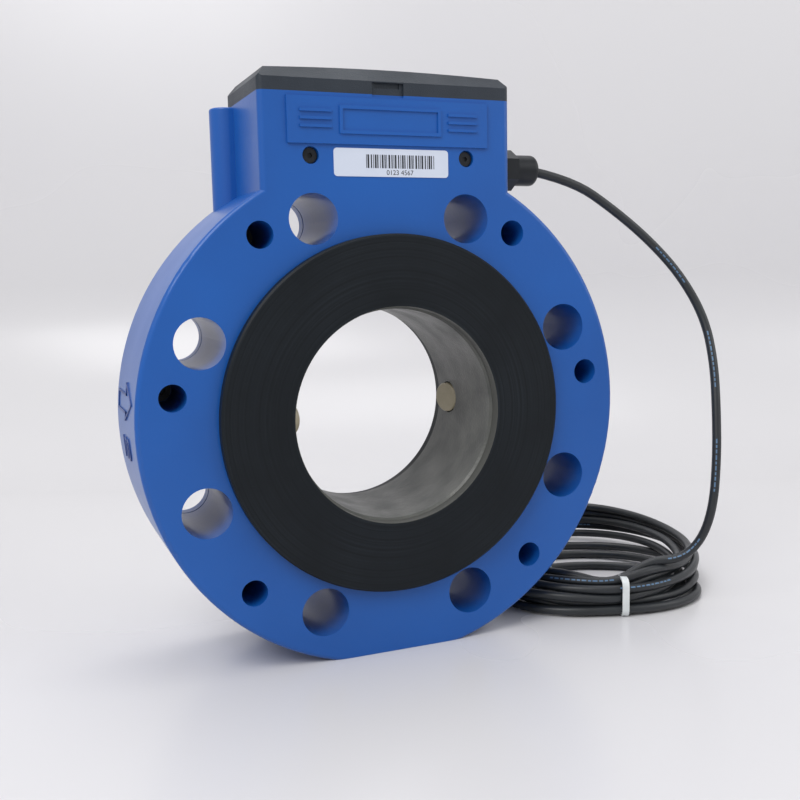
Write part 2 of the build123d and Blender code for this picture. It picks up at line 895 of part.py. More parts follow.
def make_board_screws():
    """Four small screws that hold the circuit board to the carrier."""
    screw = cross_screw(board_screw_head_radius, board_screw_head_height,
                        board_screw_radius, board_thickness + spacer_height + 0.5)
    return Compound(children=[Pos(x, y, board_top) * screw for x, y in board_screw_axes()])


def make_lcd_panel():
    """The liquid crystal display in its holder."""
    panel = block((-lcd_half_width, lcd_half_width), (lcd_front, lcd_back),
                  (board_top, board_top + lcd_thickness))
    edges = panel.edges().group_by(Axis.Z)[-1]
    return chamfer(edges, 0.6)


def make_terminal_block():
    """The terminal block with a wire hole for each core of the signal cable."""
    terminal = block((terminal_left, terminal_right), (terminal_front, terminal_back),
                     (board_top, board_top + terminal_height))
    for y in core_rows():
        terminal = terminal - cylinder_x(core_radius + 0.1, terminal_right - 3.0,
                                         terminal_right + 1, y, terminal_wire_z())
        terminal = terminal - cylinder_z(1.1, board_top + terminal_height - 1.5,
                                         board_top + terminal_height + 1,
                                         (terminal_left + terminal_right) / 2, y)
    return terminal


def core_rows():
    """The places along the terminal block where the cores go in."""
    middle = (terminal_front + terminal_back) / 2
    first = middle - core_pitch * (terminal_ways - 1) / 2
    return [first + core_pitch * index for index in range(terminal_ways)]


def terminal_wire_z():
    """The height at which the cores enter the terminal block."""
    return board_top + terminal_height * 0.4


def make_battery_cells():
    """Two lithium cells side by side."""
    cells = []
    for side in (-1, 1):
        y = cell_middle_y + side * cell_pitch / 2
        end = cell_left + cell_length - cell_cap_height
        cell = cylinder_x(cell_radius, cell_left, end, y, cell_z)
        cell = chamfer(cell.edges().filter_by(GeomType.CIRCLE), 0.6)
        cells.append(cell + cylinder_x(cell_cap_radius, end - 0.5, end + cell_cap_height,
                                       y, cell_z))
    return Compound(children=cells)


def make_battery_cradle():
    """The moulded cradle under the two cells."""
    half = cell_pitch / 2 + cell_radius + cradle_wall
    cradle = block((cell_left - cradle_wall, cell_left + cell_length + cradle_wall),
                   (cell_middle_y - half, cell_middle_y + half), (pocket_floor, cell_z))
    for side in (-1, 1):
        y = cell_middle_y + side * cell_pitch / 2
        cradle = cradle - cylinder_x(cell_radius + cell_gap, cell_left - cell_gap,
                                     cell_left + cell_length + cell_gap, y, cell_z)
    return cradle


# Bezel, window and their seals


def bezel_blank(gap, low, high):
    """The bezel's outline inside the housing wall."""
    return plan_prism(box_half_width - box_wall - gap, box_wall + gap,
                      body_depth - box_wall - gap, pocket_round - gap, pocket_round - gap,
                      low, high)


def make_bezel_seal():
    """The flat seal between the ledge in the housing and the bezel."""
    outer = bezel_blank(bezel_gap, ledge_top, bezel_bottom)
    inner = bezel_blank(bezel_gap + bezel_seal_width, ledge_top - 1, bezel_bottom + 1)
    return outer - inner


def make_display_bezel():
    """The plate over the electronics, with a rebated window."""
    bezel = bezel_blank(bezel_gap, bezel_bottom, bezel_top)
    bezel = bezel - block((-window_half_width, window_half_width),
                          (window_front, window_back), (bezel_bottom - 1, bezel_top + 1))
    edge = window_rebate
    bezel = bezel - block((-window_half_width - edge, window_half_width + edge),
                          (window_front - edge, window_back + edge),
                          (bezel_top - window_thickness, bezel_top + 1))
    for x, y in bezel_screw_axes():
        bezel = bezel - cylinder_z(bezel_screw_head_radius + screw_clearance,
                                   bezel_top - bezel_screw_head_height, bezel_top + 1, x, y)
        bezel = bezel - cylinder_z(bezel_screw_shank_radius + 0.1,
                                   bezel_bottom - 1, bezel_top + 1, x, y)
    return bezel


def make_display_window():
    """The clear window that sits flush in the bezel."""
    edge = window_rebate - window_gap
    return block((-window_half_width - edge, window_half_width + edge),
                 (window_front - edge, window_back + edge),
                 (bezel_top - window_thickness, bezel_top))


# Lid and hinge


def lid_form(inset, low):
    """The lid's outer form, or the same form moved in by its wall."""
    half = box_half_width - inset
    front = inset
    back = body_depth - inset
    band_top = box_top + lid_band
    bevel_top = band_top + lid_bevel_rise
    rise = lid_bevel_rise / lid_bevel_in
    shoulder = bevel_top - inset
    peak = lid_top - inset
    crown = Pos(0, peak - crown_radius) * Circle(crown_radius)
    spread = Polyline((-half, low), (-half, band_top),
                      (-half + lid_bevel_in, shoulder if inset else bevel_top),
                      (-half + lid_bevel_in, peak + lid_crown),
                      (half - lid_bevel_in, peak + lid_crown),
                      (half - lid_bevel_in, shoulder if inset else bevel_top),
                      (half, band_top), (half, low), close=True)
    across = Plane.XZ * (make_face(spread) & crown)
    across = Pos(0, front, 0) * extrude(across, amount=front - back)
    over = peak + lid_crown
    slant = (over - band_top) / rise
    side_face = Polyline((front, low), (front, band_top), (front + slant, over),
                         (back - slant, over), (back, band_top), (back, low), close=True)
    along = Plane.YZ * make_face(side_face)
    along = Pos(-half, 0, 0) * extrude(along, amount=2 * half)
    upright = plan_prism(half, front, back, max(box_front_round - inset, 0.4),
                         box_back_round - inset, low, over)
    return across & along & upright


def make_lid():
    """The hollow lid with bevelled sides, a crowned top and a finger notch."""
    lid = lid_form(0.0, box_top) - lid_form(lid_wall, box_top - 1)
    low = box_top + lid_band - slot_below_bevel - slot_height
    recess = block((notch_x - notch_width / 2, notch_x + notch_width / 2),
                   (-1, notch_depth), (box_top, box_top + lid_band - slot_below_bevel))
    backing = block((notch_x - notch_width / 2 - lid_wall, notch_x + notch_width / 2 + lid_wall),
                    (notch_depth, notch_depth + lid_wall), (box_top, box_top + lid_band))
    slot = block((notch_x - slot_width / 2, notch_x + slot_width / 2),
                 (-1, slot_depth), (low, low + slot_height))
    lid = lid + backing - recess - slot
    for centre in (-hinge_x, hinge_x):
        ends = (centre - lid_knuckle_width / 2, centre + lid_knuckle_width / 2)
        lid = lid + cylinder_x(knuckle_radius, *ends, hinge_y, hinge_z)
        lid = lid + block(ends, (body_depth - lid_wall / 2, hinge_y),
                          (hinge_z, hinge_z + knuckle_radius))
        lid = lid - cylinder_x(hinge_pin_radius + hinge_pin_play, ends[0] - 1, ends[1] + 1,
                               hinge_y, hinge_z)
    return lid


def make_lid_seal():
    """The soft frame in the top of the housing wall, under the lid's edge."""
    high = box_top - lid_seal_gap
    return lid_seal_ring(lid_seal_width, high - lid_seal_height, high)


def make_hinge_pins():
    """A steel pin through each group of knuckles."""
    half = lid_knuckle_width / 2 + knuckle_play + body_knuckle_width
    pins = [cylinder_x(hinge_pin_radius, centre - half, centre + half, hinge_y, hinge_z)
            for centre in (-hinge_x, hinge_x)]
    return Compound(children=pins)


# Cable gland


def make_gland_body():
    """The gland's threaded spigot and its hexagonal collar."""
    inner = box_half_width - gland_thread_length
    collar_end = box_half_width + gland_collar_length
    body = hexagon_x(gland_hex, box_half_width, collar_end, gland_y, gland_z)
    body = body + cylinder_x(gland_thread_radius, inner, collar_end, gland_y, gland_z)
    return body - cylinder_x(gland_bore_radius, inner - 1, collar_end + 1, gland_y, gland_z)


def make_gland_locknut():
    """The nut on the spigot inside the housing wall."""
    wall_face = box_half_width - ledge_inset
    nut = hexagon_x(locknut_hex, wall_face - locknut_thickness, wall_face,
                    gland_y, gland_z, turn=0)
    return nut - cylinder_x(gland_thread_radius, wall_face - 2 * locknut_thickness,
                            wall_face + 1, gland_y, gland_z)


def make_gland_nut():
    """The gland's outer nut: a hexagon with a round dome, closed down to the cable."""
    start = box_half_width + gland_collar_length + gland_nut_gap
    hex_end = start + gland_hex_length
    dome = cylinder_x(gland_dome_radius, hex_end - 1, gland_exit, gland_y, gland_z)
    dome = fillet(dome.edges().filter_by(GeomType.CIRCLE).sort_by(Axis.X)[-1],
                  gland_dome_round)
    hexagon = hexagon_x(gland_hex, start, hex_end, gland_y, gland_z)
    nut = hexagon + dome
    seal_end = start + gland_seal_length
    nut = nut - cylinder_x(gland_seal_radius, start - 1, seal_end, gland_y, gland_z)
    return nut - cylinder_x(cable_radius + cable_exit_gap, seal_end - 1, gland_exit + 1,
                            gland_y, gland_z)


def make_gland_seal():
    """The rubber bush that grips the cable."""
    start = box_half_width + gland_collar_length + gland_nut_gap
    end = start + gland_seal_length
    seal = cylinder_x(gland_seal_radius, start, end, gland_y, gland_z)
    return seal - cylinder_x(cable_radius, start - 1, end + 1, gland_y, gland_z)


# Signal cable


def make_cable_inside():
    """The cable's sheathed end, from the gland's nose into the housing."""
    return cylinder_x(cable_radius, cable_inside_end, gland_exit, gland_y, gland_z)


def make_inside_cores():
    """The four cores, from the cable's stripped end up to the terminal block."""
    cores = []
    for index, y in enumerate(core_rows()):
        angle = radians(90 * index + 45)
        start_y = gland_y + 1.1 * cos(angle)
        start_z = gland_z + 1.1 * sin(angle)
        points = [(cable_inside_end, start_y, start_z),
                  (cable_inside_end - 2.4, start_y, start_z),
                  (cable_inside_end - 1.8, y, terminal_wire_z()),
                  (terminal_right - 2.5, y, terminal_wire_z())]
        cores.append(tube_along(points, core_radius))
    return Compound(children=cores)


def make_cable_lead():
    """The free cable between the gland and the coil."""
    print("lead radii", [round(radius, 1) for radius in arc_radii(lead_points)])
    return tube_along(lead_points, cable_radius)


def coil_frame():
    """The coil's own plane on the floor: u to the right, v away from the viewer."""
    angle = radians(coil_turn)
    return Plane(origin=(*coil_centre, foot_z), x_dir=(cos(angle), sin(angle), 0),
                 z_dir=(0, 0, 1))


def tie_window():
    """The front and back limits of the bundle at the tie, and its top."""
    share = tie_place / coil_half_width
    front = -coil_half_depth * sqrt(1 - share ** 2) + tie_thickness
    share = tie_place / eye_half_width
    back = eye_shift - eye_half_depth * sqrt(1 - share ** 2) - tie_thickness
    return front, back, tie_height - tie_thickness


def tie_block(grow):
    """The rounded bar that the tie goes round, or the tie's outside."""
    front, back, top = tie_window()
    low = tie_thickness - grow + 0.1
    bar = block((tie_place - tie_width / 2, tie_place + tie_width / 2),
                (front - grow, back + grow), (low, top + grow))
    return fillet(bar.edges().filter_by(Axis.X), tie_round + grow)


def coil_apron():
    """The low part of the coil, where single turns lie on the floor inside the high ring."""
    apron = Ellipse(coil_half_width - apron_inset, coil_half_depth - apron_inset)
    apron = apron - Pos(0, apron_shift) * Ellipse(apron_half_width, apron_half_depth)
    apron = extrude(apron, amount=apron_height)
    inner_edge = apron.edges().group_by(Axis.Z)[-1].sort_by(SortBy.LENGTH)[0]
    return chamfer(inner_edge, apron_edge)


def make_cable_coil():
    """The outer shape of the coil: a loose oval ring, low at the tie and higher behind."""
    ring = Ellipse(coil_half_width, coil_half_depth)
    ring = ring - Pos(0, eye_shift) * Ellipse(eye_half_width, eye_half_depth)
    coil = extrude(ring, amount=2 * coil_height)
    slope = Plane(origin=(0, 0, coil_height), z_dir=(-coil_slope_u, -coil_slope_v, 1))
    coil = split(coil, bisect_by=slope, keep=Keep.BOTTOM)
    levels = coil.faces().sort_by(Axis.Z)
    coil = chamfer(levels[-1].edges(), coil_top_edge)
    coil = chamfer(coil.faces().sort_by(Axis.Z)[0].edges(), coil_foot_edge)
    coil = coil + coil_apron()
    waist = block((tie_place - tie_width / 2, tie_place + tie_width / 2),
                  (-coil_half_depth - waist_reach, eye_shift - eye_half_depth + waist_reach),
                  (-waist_reach, 2 * coil_height))
    coil = coil - (waist - tie_block(0))
    return coil_frame().location * coil


def make_cable_tie():
    """The plastic tie round the tight side of the coil, with its head on the inside."""
    front, back, top = tie_window()
    tie = tie_block(tie_thickness) - tie_block(0)
    head_top = top - tie_round
    neck_end = back + tie_thickness + 0.4
    neck = block((tie_place - tie_width / 2, tie_place + tie_width / 2),
                 (back + tie_thickness / 2, neck_end + 0.2), (head_top - tie_head, head_top))
    head = block((tie_place - tie_head / 2, tie_place + tie_head / 2),
                 (neck_end, neck_end + tie_head * 0.7), (head_top - tie_head, head_top))
    return coil_frame().location * (tie + neck + head)


def make_cable_tail():
    """The cable's free end, which comes out behind the coil."""
    print("tail radii", [round(radius, 1) for radius in arc_radii(tail_points)])
    return tube_along(tail_points, cable_radius)


def make_tail_cores():
    """Four stripped cores at the cable's free end."""
    end = Vector(*tail_points[-1])
    away = (end - Vector(*tail_points[-2])).normalized()
    across = Vector(-away.Y, away.X, 0)
    cores = []
    for index in range(terminal_ways):
        angle = radians(90 * index + 45)
        start = end + across * cos(angle) + Vector(0, 0, sin(angle))
        spread = across * (2 * index - 3) * 1.4
        finish = end + away * 20.0 + spread + Vector(0, 0, -cable_radius + core_radius)
        line = Line(start, finish)
        section = Plane(origin=line @ 0, z_dir=line % 0) * Circle(core_radius)
        cores.append(sweep(section, path=line))
    return Compound(children=cores)


# Label


def make_number_label():
    """A thin printed label on the front of the housing."""
    label = block((label_left, label_right), (-label_thickness, 0), (label_low, label_high))
    return fillet(label.edges().filter_by(Axis.Y), label_round)


parts = {
    "body_casting": make_body_casting,
    "rear_cover": make_rear_cover,
    "cover_seal": make_cover_seal,
    "measuring_tube": make_measuring_tube,
    "tube_seals": make_tube_seals,
    "inlet_ring": make_inlet_ring,
    "outlet_ring": make_outlet_ring,
    "upstream_transducer": lambda: make_transducer(1),
    "downstream_transducer": lambda: make_transducer(-1),
    "transducer_seals": make_transducer_seals,
    "transducer_nuts": make_transducer_nuts,
    "upstream_lead": lambda: make_transducer_lead(1),
    "downstream_lead": lambda: make_transducer_lead(-1),
    "housing_screws": make_housing_screws,
    "box_screws": make_box_screws,
    "board_carrier": make_board_carrier,
    "circuit_board": make_circuit_board,
    "board_screws": make_board_screws,
    "lcd_panel": make_lcd_panel,
    "terminal_block": make_terminal_block,
    "battery_cells": make_battery_cells,
    "battery_cradle": make_battery_cradle,
    "bezel_seal": make_bezel_seal,
    "display_bezel": make_display_bezel,
    "display_window": make_display_window,
    "bezel_screws": make_bezel_screws,
    "lid": make_lid,
    "lid_seal": make_lid_seal,
    "hinge_pins": make_hinge_pins,
    "gland_body": make_gland_body,
    "gland_locknut": make_gland_locknut,
    "gland_nut": make_gland_nut,
    "gland_seal": make_gland_seal,
    "cable_inside": make_cable_inside,
    "inside_cores": make_inside_cores,
    "cable_lead": make_cable_lead,
    "cable_coil": make_cable_coil,
    "cable_tie": make_cable_tie,
    "cable_tail": make_cable_tail,
    "tail_cores": make_tail_cores,
    "number_label": make_number_label,
}

os.makedirs("parts", exist_ok=True)
for name, make in parts.items():
    export_step(make(), f"parts/{name}.step")
print(len(parts), "sub-parts written")
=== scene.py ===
# %% [markdown]
# An ultrasonic water meter, dressed for its portrait.
#
# The meter is a blue painted disc that is clamped between two pipe flanges. A small housing with
# a dark lid stands on top, and a signal cable runs from it to a loose coil on the table. The
# solids come ready from the CAD model. This script gives them their finishes, makes the cable
# and the small printed and engraved marks, and sets up floor, light and camera.

# %% Load the solids
from math import cos, pi, radians, sin, sqrt

import bpy
from mathutils import Matrix, Vector


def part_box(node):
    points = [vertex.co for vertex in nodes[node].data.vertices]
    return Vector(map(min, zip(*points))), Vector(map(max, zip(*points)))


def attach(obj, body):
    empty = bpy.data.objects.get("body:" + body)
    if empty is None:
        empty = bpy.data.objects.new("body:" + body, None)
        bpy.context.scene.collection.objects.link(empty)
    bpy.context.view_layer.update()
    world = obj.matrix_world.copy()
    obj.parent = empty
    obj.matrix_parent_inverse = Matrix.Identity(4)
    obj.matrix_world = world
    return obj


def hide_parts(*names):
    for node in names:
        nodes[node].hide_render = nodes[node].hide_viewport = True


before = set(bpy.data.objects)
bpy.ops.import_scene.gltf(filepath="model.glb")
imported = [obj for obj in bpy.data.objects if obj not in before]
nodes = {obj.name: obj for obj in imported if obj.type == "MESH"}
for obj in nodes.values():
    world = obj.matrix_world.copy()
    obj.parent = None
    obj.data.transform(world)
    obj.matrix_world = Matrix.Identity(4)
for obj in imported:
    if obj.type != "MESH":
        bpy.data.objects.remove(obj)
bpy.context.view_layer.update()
print("nodes loaded:", len(nodes))

# %% [markdown]
# Every size below is in metres, in the frame of the CAD model. The middle of the bolt circle on
# the front face is the origin, Z points up and Y points away from the camera. Working in one
# frame means that no piece has to be fitted by eye.

# %% Small helpers
MM = 0.001


def millimetres(points):
    """Turns a list of points in millimetres into vectors in metres."""
    return [Vector(point) * MM for point in points]


def nothing_selected():
    """Leaves edit mode and clears the selection, so that an operator acts on one piece."""
    if bpy.context.mode != "OBJECT":
        bpy.ops.object.mode_set(mode="OBJECT")
    bpy.ops.object.select_all(action="DESELECT")


def take(piece):
    """Makes one object the only one that the next operator works on."""
    nothing_selected()
    piece.select_set(True)
    bpy.context.view_layer.objects.active = piece


def settle(piece):
    """Moves an object's place, turn and scale into its mesh."""
    take(piece)
    bpy.ops.object.transform_apply(location=True, rotation=True, scale=True)
    return piece


floor_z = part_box("body_casting")[0].z
print("floor at", round(floor_z, 4), "m")

# %% [markdown]
# The camera comes first, because all later judging is done through it. It stands a little to the
# left of the meter and a little above its middle, as close as a product photographer would, so
# the near rim looks larger than the far one. A sensor of 36 mm and this focal length give the
# photograph's field of view.

# %% Camera
camera_place = Vector((-0.1593, -0.3949, 0.0617))
camera_yaw = radians(22.20)
camera_pitch = radians(-7.41)
camera_roll = radians(-1.19)
camera_lens = 44.9

bpy.ops.object.camera_add()
camera = bpy.context.object
camera.name = "portrait_camera"
camera.data.sensor_width = 36
camera.data.lens = camera_lens
turn = Matrix.Rotation(-camera_yaw, 4, "Z")
tilt = Matrix.Rotation(radians(90) + camera_pitch, 4, "X")
lean = Matrix.Rotation(camera_roll, 4, "Z")
camera.matrix_world = Matrix.Translation(camera_place) @ turn @ tilt @ lean
camera.data.clip_start = 0.01
bpy.context.scene.camera = camera
bpy.context.scene.view_settings.view_transform = "Standard"
print("camera stands", round(camera_place.length, 3), "m from the bolt circle")

# %% [markdown]
# The signal cable is one smooth NURBS curve: a straight start out of the gland, a free arc down
# to the table, eight and a bit turns of a coil, and a short free end behind it. The points of the
# arc and of the free end follow the CAD model, and the end of the arc is lifted over the coil.
# The turns are computed, because a hand-wound coil has a rule: all turns pass the tie packed side
# by side, and away from the tie each goes its own way, on top of those below it. Some strands
# still press into each other a little.

# %% Cable route: the free arc and the free end
cable_diameter = 4.3 * MM
lead_route = millimetres([
    (81.0, 23.0, 106.2),
    (101.9, 21.9, 102.2),
    (123.3, 19.6, 88.8),
    (141.8, 15.7, 73.6),
    (157.0, 10.9, 56.4),
    (165.6, 2.8, 35.4),
    (165.0, -5.4, 13.7),
    (162.4, -10.9, -8.0),
    (159.5, -15.4, -29.5),
    (156.6, -17.2, -54.0),
    (154.6, -11.5, -72.0),
    (145.5, -7.2, -81.5),
    (133.5, 0.3, -82.3),
])
tail_route = millimetres([
    (83.6, 94.7, -103.3),
    (89.7, 108.4, -103.3),
    (89.7, 121.4, -103.3),
    (83.8, 133.0, -103.3),
    (73.3, 140.6, -103.3),
    (60.6, 143.3, -103.3),
])
print("route points:", len(lead_route), "down,", len(tail_route), "at the end")

# %% Cable route: the frame of the coil
coil_middle = Vector((135.5, 60.5)) * MM
coil_turn = radians(-22.2)
coil_across = Vector((cos(coil_turn), sin(coil_turn)))
coil_along = Vector((-sin(coil_turn), cos(coil_turn)))


def coil_point(across, along, height):
    """A place in the coil from its own two directions and its height over the floor."""
    flat = coil_middle + coil_across * across + coil_along * along
    return Vector((flat.x, flat.y, floor_z + height))


print("coil middle:", [round(value, 4) for value in coil_middle])

# %% [markdown]
# The lists below say how the turns lie, in millimetres, from the top turn to the lowest. At the
# tie they are packed like a bunch of rods. At the left, at the back and at the right each turn
# has its own place and height, chosen to look like the photographed coil. The lower turns swing
# out further at the front left, which makes the coil egg-shaped. Between those places the values
# pass smoothly over.

# %% Cable route: where each turn lies
tie_along = [-64.4, -67.6, -70.9, -67.6, -64.4, -70.9, -67.6, -64.4, -70.9]
tie_height = [13.2, 15.4, 13.0, 10.5, 8.1, 8.1, 5.7, 3.2, 3.2]
left_across = [54, 58, 61, 50, 47, 63, 56, 52, 63]
left_height = [15, 11, 8, 11, 7, 4.5, 4.5, 2.15, 2.15]
back_along = [69, 71, 70, 72, 68, 47, 28.5, 6.3, 70]
back_height = [21.3, 17.0, 12.7, 8.4, 4.2, 2.15, 2.15, 2.15, 2.15]
right_across = [54, 57, 48, 58, 46, 55, 46, 51, 60]
right_height = [17, 13, 14, 9, 9, 4.5, 4.5, 2.15, 2.15]
front_swing = [0, 1, 3, 3, 4, 8, 8, 7, 11]
lowest_turn = len(tie_along) - 1
points_per_turn = 16
strand_gap = cable_diameter * 1.05


def soft_step(part):
    """Passes from 0 to 1 with a gentle start and end."""
    return part * part * (3 - 2 * part)


def wished_place(turn_index, step):
    """Where a turn would lie at one of its steps if no other turn were there."""
    below = min(turn_index + 1, lowest_turn)
    heights = [
        tie_height[turn_index],
        left_height[turn_index],
        back_height[turn_index],
        right_height[turn_index],
        tie_height[below],
    ]
    place = 4 * step / points_per_turn
    quarter = min(int(place), 3)
    height = heights[quarter] + (heights[quarter + 1] - heights[quarter]) * soft_step(place - quarter)
    angle = 2 * pi * step / points_per_turn
    front = tie_along[turn_index] if angle < pi else tie_along[below]
    half_width = left_across[turn_index] if angle < pi else right_across[turn_index]
    middle = (front + back_along[turn_index]) / 2
    half_depth = (back_along[turn_index] - front) / 2
    swing = front_swing[turn_index] * sin(2 * angle) ** 2 if angle < pi / 2 else 0
    along = middle - half_depth * cos(angle) - swing
    return coil_point(-half_width * sin(angle) * MM, along * MM, height * MM)


print("turns:", lowest_turn, "with", points_per_turn, "points each")

# %% Cable route: lay the turns on each other
def aside_and_height(place, start, end):
    """How far a place lies beside a piece of strand in plan, and how high that piece is there."""
    run = (end - start).to_2d()
    part = (place - start).to_2d().dot(run) / max(run.length_squared, 1e-12)
    nearest = start.lerp(end, min(max(part, 0), 1))
    return (place - nearest).to_2d().length, nearest.z


def coil_route():
    """Control points of all turns, from the tie round to the free end."""
    laid = {}
    for turn_index in range(lowest_turn, -1, -1):
        is_lowest = turn_index == lowest_turn
        steps = points_per_turn // 4 + 1 if is_lowest else points_per_turn
        points = [wished_place(turn_index, step) for step in range(steps)]
        if not is_lowest:
            points.append(wished_place(turn_index + 1, 0))
        free = points[1:] if is_lowest else points[1:-1]
        for point in free:
            for other in laid.values():
                for start, end in zip(other, other[1:]):
                    aside, height = aside_and_height(point, start, end)
                    if aside < strand_gap:
                        point.z = max(point.z, height + sqrt(strand_gap ** 2 - aside ** 2))
        laid[turn_index] = points
    route = []
    for turn_index in range(lowest_turn):
        route += laid[turn_index][:-1]
    return route + laid[lowest_turn]


cable_route = lead_route + coil_route() + tail_route
print("control points in the cable:", len(cable_route))

# %% Cable: the curve
def smooth_curve(name, points, radius):
    """A round cord on one open NURBS spline of order 3."""
    curve = bpy.data.curves.new(name, "CURVE")
    curve.dimensions = "3D"
    curve.resolution_u = 6
    curve.bevel_depth = 1.0
    curve.bevel_resolution = 5
    curve.use_fill_caps = True
    spline = curve.splines.new("NURBS")
    spline.points.add(len(points) - 1)
    for place, point in zip(spline.points, points):
        place.co = (point.x, point.y, point.z, 1)
        place.radius = radius
    spline.use_endpoint_u = True
    spline.order_u = 3
    cord = bpy.data.objects.new(name, curve)
    bpy.context.scene.collection.objects.link(cord)
    return cord


def centre_line(cord):
    """The points of a cord's own spline, read with its thickness taken off."""
    bare = cord.copy()
    bare.data = cord.data.copy()
    bare.data.bevel_depth = 0
    bare.data.use_fill_caps = False
    bpy.context.scene.collection.objects.link(bare)
    bpy.context.view_layer.update()
    mesh = bpy.data.meshes.new_from_object(bare.evaluated_get(bpy.context.evaluated_depsgraph_get()))
    points = [vertex.co.copy() for vertex in mesh.vertices]
    bpy.data.meshes.remove(mesh)
    bpy.data.objects.remove(bare)
    return points


cable = smooth_curve("signal_cable", cable_route, cable_diameter / 2)
cable_line = centre_line(cable)

# %% [markdown]
# The floor is a pale paper sweep. A plane is the start: its far edge is pulled up into a wall and
# the fold is rounded with a bevel, so no hard line crosses the picture. It faces the camera
# squarely, a hand's width behind the meter.

# %% Floor and backdrop
wall_distance = 0.50
floor_reach = 1.6
fold_round = 0.16
wall_height = 1.5
floor_drop = 0.05 * MM

nothing_selected()
bpy.ops.mesh.primitive_plane_add(size=1)
sweep = bpy.context.object
sweep.name = "paper_sweep"
sweep.scale = (2 * floor_reach, floor_reach + wall_distance, 1)
sweep.location = (0, (wall_distance - floor_reach) / 2, 0)
settle(sweep)
bpy.ops.object.mode_set(mode="EDIT")
bpy.ops.mesh.select_mode(type="EDGE")
bpy.ops.mesh.select_all(action="DESELECT")
bpy.ops.object.mode_set(mode="OBJECT")
for edge in sweep.data.edges:
    ends = [sweep.data.vertices[index].co.y for index in edge.vertices]
    edge.select = min(ends) > wall_distance - MM
bpy.ops.object.mode_set(mode="EDIT")
bpy.ops.mesh.extrude_region_move(TRANSFORM_OT_translate={"value": (0, 0, wall_height)})
bpy.ops.mesh.select_all(action="DESELECT")
bpy.ops.object.mode_set(mode="OBJECT")
for edge in sweep.data.edges:
    ends = [sweep.data.vertices[index].co for index in edge.vertices]
    edge.select = all(abs(end.z) < MM and end.y > wall_distance - MM for end in ends)
bpy.ops.object.mode_set(mode="EDIT")
bpy.ops.mesh.bevel(offset=fold_round, segments=16, affect="EDGES")
bpy.ops.object.mode_set(mode="OBJECT")
bpy.ops.object.shade_smooth()
sweep.rotation_euler = (0, 0, -camera_yaw)
sweep.location = (0, 0, floor_z - floor_drop)
settle(sweep)
print("sweep faces:", len(sweep.data.polygons))

# %% [markdown]
# Colours are written as they are read off a picture, from 0 to 255, and turned into the linear
# values that a shader works with. A small helper makes each material and hands back its one
# shader, so that plain numbers can be set straight on the shader's own sockets.

# %% Material helpers
def colour(red, green, blue):
    """A colour as read off a picture, in the linear values of a shader."""
    linear = []
    for value in (red, green, blue):
        part = value / 255
        linear.append(part / 12.92 if part <= 0.04045 else ((part + 0.055) / 1.055) ** 2.4)
    return (*linear, 1.0)


def new_material(name, roughness=0.5, metallic=0.0, specular=0.5):
    """A material with one Principled shader whose plain numbers are set on it."""
    material = bpy.data.materials.new(name)
    material.use_nodes = True
    shader = shader_of(material)
    shader.inputs["Roughness"].default_value = roughness
    shader.inputs["Metallic"].default_value = metallic
    shader.inputs["Specular IOR Level"].default_value = specular
    return material, shader


def shader_of(material):
    """The one Principled shader of a material."""
    return material.node_tree.nodes["Principled BSDF"]


def wire(material, start, end):
    """Joins an output to an input."""
    material.node_tree.links.new(start, end)


def place_group(material, group, **values):
    """Puts a shader group into a material, with its own values."""
    node = material.node_tree.nodes.new("ShaderNodeGroup")
    node.node_tree = group
    for label, value in values.items():
        node.inputs[label.replace("_", " ")].default_value = value
    return node


def blend_colours(material, mask, first, second):
    """Mixes two colours by a mask; the first may also be another mix's output."""
    mix = material.node_tree.nodes.new("ShaderNodeMix")
    mix.data_type = "RGBA"
    if isinstance(first, bpy.types.NodeSocket):
        wire(material, first, mix.inputs["A"])
    else:
        mix.inputs["A"].default_value = first
    mix.inputs["B"].default_value = second
    wire(material, mask, mix.inputs["Factor"])
    return mix.outputs["Result"]


def spread_values(material, mask, low, high):
    """Stretches a mask between two values."""
    span = material.node_tree.nodes.new("ShaderNodeMapRange")
    span.inputs["To Min"].default_value = low
    span.inputs["To Max"].default_value = high
    wire(material, mask, span.inputs["Value"])
    return span.outputs["Result"]


def raise_surface(material, shader, height, depth, strength=1.0):
    """Feeds a height into the shader's normal through a bump."""
    bump = material.node_tree.nodes.new("ShaderNodeBump")
    bump.inputs["Strength"].default_value = strength
    bump.inputs["Distance"].default_value = depth
    wire(material, height, bump.inputs["Height"])
    wire(material, bump.outputs["Normal"], shader.inputs["Normal"])


# %% [markdown]
# Almost every finish on the meter is a little uneven, at its own scale: paint has a faint orange
# peel, moulded plastic a fine spark-eroded grain. One group gives both a broad cloud and a fine
# grain, and each material chooses its own scales.

# %% Shader group: uneven finish
def new_group(name, inputs, outputs):
    """A shader group with named float inputs and outputs."""
    group = bpy.data.node_groups.new(name, "ShaderNodeTree")
    for label, value in inputs:
        socket = group.interface.new_socket(label, in_out="INPUT", socket_type="NodeSocketFloat")
        socket.default_value = value
    for label in outputs:
        group.interface.new_socket(label, in_out="OUTPUT", socket_type="NodeSocketFloat")
    return group


def group_node(group, kind, **settings):
    """A node inside a group, with its settings."""
    node = group.nodes.new(kind)
    for label, value in settings.items():
        setattr(node, label, value)
    return node


def group_math(group, operation, first, second):
    """One sum inside a group; a number or an output may be given on either side."""
    node = group_node(group, "ShaderNodeMath", operation=operation)
    for socket, value in zip(node.inputs, (first, second)):
        if isinstance(value, (int, float)):
            socket.default_value = value
        else:
            group.links.new(value, socket)
    return node.outputs[0]


